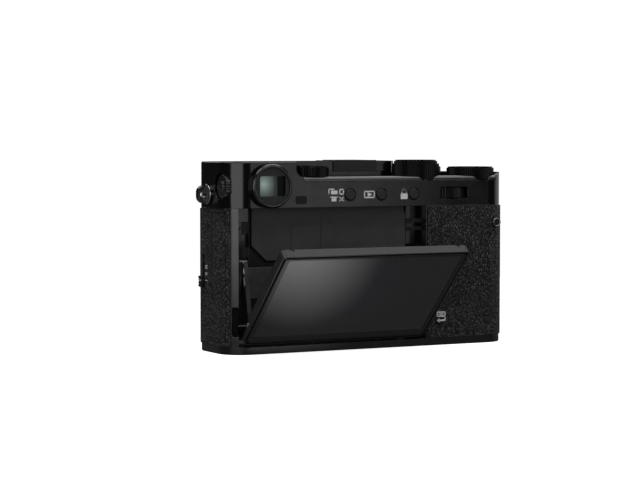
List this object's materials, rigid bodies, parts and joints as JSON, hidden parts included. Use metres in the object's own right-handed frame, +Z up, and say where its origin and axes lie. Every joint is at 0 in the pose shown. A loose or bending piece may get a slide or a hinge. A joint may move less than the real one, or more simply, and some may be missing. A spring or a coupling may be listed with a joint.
{
  "type": "rangefinder camera",
  "caption": "Black fixed-lens rangefinder-style camera with a rear screen on a folding double hinge, top dials, finder eyepiece and a ringed front lens.",
  "frame": {"origin": "centre of the tripod socket's mouth, in the plane of the base plate's underside", "axes": "+X to the right seen from behind the camera, +Y forward along the lens, +Z up"},
  "size_m": [0.1364, 0.0901, 0.0748],
  "materials": {
    "black_paint": "satin black paint over metal",
    "leatherette": "coarse pebble grain, matt black",
    "well_plastic": "fine matt black",
    "screen_plastic": "fine satin black",
    "display_glass": "polished dark glass",
    "finder_glass": "coated optical glass",
    "lens_glass": "coated optical glass",
    "dial_metal": "satin black, knurled rim",
    "bright_steel": "brushed",
    "dark_steel": "blackened",
    "button_plastic": "semi-gloss black",
    "soft_rubber": "matt",
    "lens_metal": "satin black anodised",
    "silicon": "polished sensor face",
    "battery_wrap": "printed wrap without text"
  },
  "bodies": {
    "camera_body": {"base_plate": "black_paint", "base_screws": "dark_steel", "tripod_socket": "bright_steel", "body_shell": "black_paint", "leather_wrap": "leatherette", "grip": "leatherette", "well_plate": "well_plastic", "well_cover": "well_plastic", "top_plate": "black_paint", "dial_deck": "black_paint", "eyepiece_ring": "black_paint", "eyepiece_face": "soft_rubber", "eyepiece_glass": "finder_glass", "finder_prism": "finder_glass", "eye_sensor_window": "finder_glass", "finder_frame": "black_paint", "front_windows": "finder_glass", "hot_shoe": "dark_steel", "stick_surround": "button_plastic", "body_pins": "bright_steel", "strap_lugs": "dark_steel", "switch_plate": "well_plastic", "lens_base": "lens_metal", "lens_barrel": "lens_metal", "front_ring": "lens_metal", "lens_elements": "lens_glass", "leaf_shutter": "lens_metal", "image_sensor": "silicon", "battery": "battery_wrap", "port_block": "button_plastic"},
    "hinge_arms": {"tilt_arms": "dark_steel"},
    "hinge_bracket": {"tilt_bracket": "dark_steel", "bracket_pins": "bright_steel"},
    "screen": {"screen_back": "screen_plastic", "screen_front": "screen_plastic", "screen_glass": "display_glass"},
    "hot_shoe_cover_body": {"hot_shoe_cover": "button_plastic"},
    "shutter_dial_body": {"shutter_dial": "dial_metal"},
    "iso_ring_body": {"iso_ring": "dial_metal"},
    "exposure_dial_body": {"exposure_dial": "dial_metal"},
    "top_knob_body": {"top_knob": "dial_metal"},
    "power_lever_body": {"power_lever": "dial_metal"},
    "release_button_body": {"release_button": "button_plastic"},
    "fn_button_body": {"fn_button": "button_plastic"},
    "rear_wheel_body": {"rear_wheel": "dial_metal"},
    "front_wheel_body": {"front_wheel": "dial_metal"},
    "focus_stick_body": {"focus_stick": "button_plastic"},
    "menu_button_body": {"menu_button": "button_plastic"},
    "disp_button_body": {"disp_button": "button_plastic"},
    "quick_button_body": {"quick_button": "button_plastic"},
    "drive_button_body": {"drive_button": "button_plastic"},
    "play_button_body": {"play_button": "button_plastic"},
    "lock_button_body": {"lock_button": "button_plastic"},
    "diopter_dial_body": {"diopter_dial": "dial_metal"},
    "focus_switch_body": {"focus_switch": "button_plastic"},
    "aperture_ring_body": {"aperture_ring": "lens_metal"},
    "focus_ring_body": {"focus_ring": "lens_metal"},
    "finder_lever_body": {"finder_lever": "well_plastic"},
    "battery_door_body": {"battery_door": "well_plastic"},
    "port_cover_body": {"port_cover": "well_plastic"}
  },
  "joints": [
    {"name": "screen_lift", "type": "hinge", "parent": "camera_body", "child": "hinge_arms", "pos_m": [-0.01705, -0.0082, 0.006], "axis": [1, 0, 0], "range_deg": [-4.6, 55.4]},
    {"name": "screen_fold", "type": "hinge", "parent": "hinge_arms", "child": "hinge_bracket", "pos_m": [-0.01705, -0.0134, 0.03568], "axis": [1, 0, 0], "range_deg": [-138.5, 11.5]},
    {"name": "screen_tilt", "type": "hinge", "parent": "hinge_bracket", "child": "screen", "pos_m": [-0.01705, -0.01773, 0.01152], "axis": [1, 0, 0], "range_deg": [-51.9, 0]},
    {"name": "shoe_cover_slide", "type": "slide", "parent": "camera_body", "child": "hot_shoe_cover_body", "axis": [0, 1, 0], "range_m": [-0.014, 0]},
    {"name": "shutter_dial_turn", "type": "hinge", "parent": "camera_body", "child": "shutter_dial_body", "pos_m": [0.025, -0.0066, 0.072], "axis": [0, 0, 1], "continuous": true},
    {"name": "iso_ring_turn", "type": "hinge", "parent": "camera_body", "child": "iso_ring_body", "pos_m": [0.025, -0.0066, 0.072], "axis": [0, 0, 1], "continuous": true},
    {"name": "exposure_dial_turn", "type": "hinge", "parent": "camera_body", "child": "exposure_dial_body", "pos_m": [0.051, -0.0066, 0.07], "axis": [0, 0, 1], "range_deg": [-120, 120]},
    {"name": "top_knob_turn", "type": "hinge", "parent": "camera_body", "child": "top_knob_body", "pos_m": [-0.0232, -0.0096, 0.07], "axis": [0, 0, 1], "continuous": true},
    {"name": "power_lever_turn", "type": "hinge", "parent": "camera_body", "child": "power_lever_body", "pos_m": [0.038, 0.008, 0.071], "axis": [0, 0, 1], "range_deg": [-35, 0]},
    {"name": "release_press", "type": "slide", "parent": "camera_body", "child": "release_button_body", "axis": [0, 0, 1], "range_m": [-0.0011, 0], "stiffness_N_per_m": 400},
    {"name": "fn_press", "type": "slide", "parent": "camera_body", "child": "fn_button_body", "axis": [0, 0, 1], "range_m": [-0.0004, 0], "stiffness_N_per_m": 400},
    {"name": "rear_wheel_turn", "type": "hinge", "parent": "camera_body", "child": "rear_wheel_body", "pos_m": [0.0376, -0.0086, 0.0615], "axis": [0, 0, 1], "continuous": true},
    {"name": "front_wheel_turn", "type": "hinge", "parent": "camera_body", "child": "front_wheel_body", "pos_m": [0.048, 0.0086, 0.0615], "axis": [0, 0, 1], "continuous": true},
    {"name": "stick_press", "type": "slide", "parent": "camera_body", "child": "focus_stick_body", "axis": [0, 1, 0], "range_m": [0, 0.0004], "stiffness_N_per_m": 400},
    {"name": "menu_press", "type": "slide", "parent": "camera_body", "child": "menu_button_body", "axis": [0, 1, 0], "range_m": [0, 0.0004], "stiffness_N_per_m": 400},
    {"name": "disp_press", "type": "slide", "parent": "camera_body", "child": "disp_button_body", "axis": [0, 1, 0], "range_m": [0, 0.0004], "stiffness_N_per_m": 400},
    {"name": "quick_press", "type": "slide", "parent": "camera_body", "child": "quick_button_body", "axis": [0, 1, 0], "range_m": [0, 0.0004], "stiffness_N_per_m": 400},
    {"name": "drive_press", "type": "slide", "parent": "camera_body", "child": "drive_button_body", "axis": [0, 1, 0], "range_m": [0, 0.0004], "stiffness_N_per_m": 400},
    {"name": "play_press", "type": "slide", "parent": "camera_body", "child": "play_button_body", "axis": [0, 1, 0], "range_m": [0, 0.0004], "stiffness_N_per_m": 400},
    {"name": "lock_press", "type": "slide", "parent": "camera_body", "child": "lock_button_body", "axis": [0, 1, 0], "range_m": [0, 0.0004], "stiffness_N_per_m": 400},
    {"name": "diopter_turn", "type": "hinge", "parent": "camera_body", "child": "diopter_dial_body", "pos_m": [-0.061, -0.0087, 0.065], "axis": [1, 0, 0], "range_deg": [-140, 140]},
    {"name": "focus_mode_slide", "type": "slide", "parent": "camera_body", "child": "focus_switch_body", "axis": [0, 0, 1], "range_m": [0, 0.0058]},
    {"name": "aperture_turn", "type": "hinge", "parent": "camera_body", "child": "aperture_ring_body", "pos_m": [-0.005, 0.0237, 0.033], "axis": [0, 1, 0], "range_deg": [-90, 0]},
    {"name": "focus_turn", "type": "hinge", "parent": "camera_body", "child": "focus_ring_body", "pos_m": [-0.005, 0.029, 0.033], "axis": [0, 1, 0], "continuous": true},
    {"name": "finder_lever_turn", "type": "hinge", "parent": "camera_body", "child": "finder_lever_body", "pos_m": [-0.0315, 0.017, 0.0635], "axis": [0, 1, 0], "range_deg": [-25, 25], "stiffness_Nm_per_rad": 0.01},
    {"name": "battery_door_swing", "type": "hinge", "parent": "camera_body", "child": "battery_door_body", "pos_m": [0.0435, -0.00775, 0.00095], "axis": [1, 0, 0], "range_deg": [-100, 0]},
    {"name": "port_cover_swing", "type": "hinge", "parent": "camera_body", "child": "port_cover_body", "pos_m": [0.06305, 0.0041, 0.03], "axis": [0, 0, 1], "range_deg": [0, 95]}
  ],
  "couplings": [
    {"joint": "screen_fold", "follows": "screen_lift", "ratio": -2.5}
  ]
}
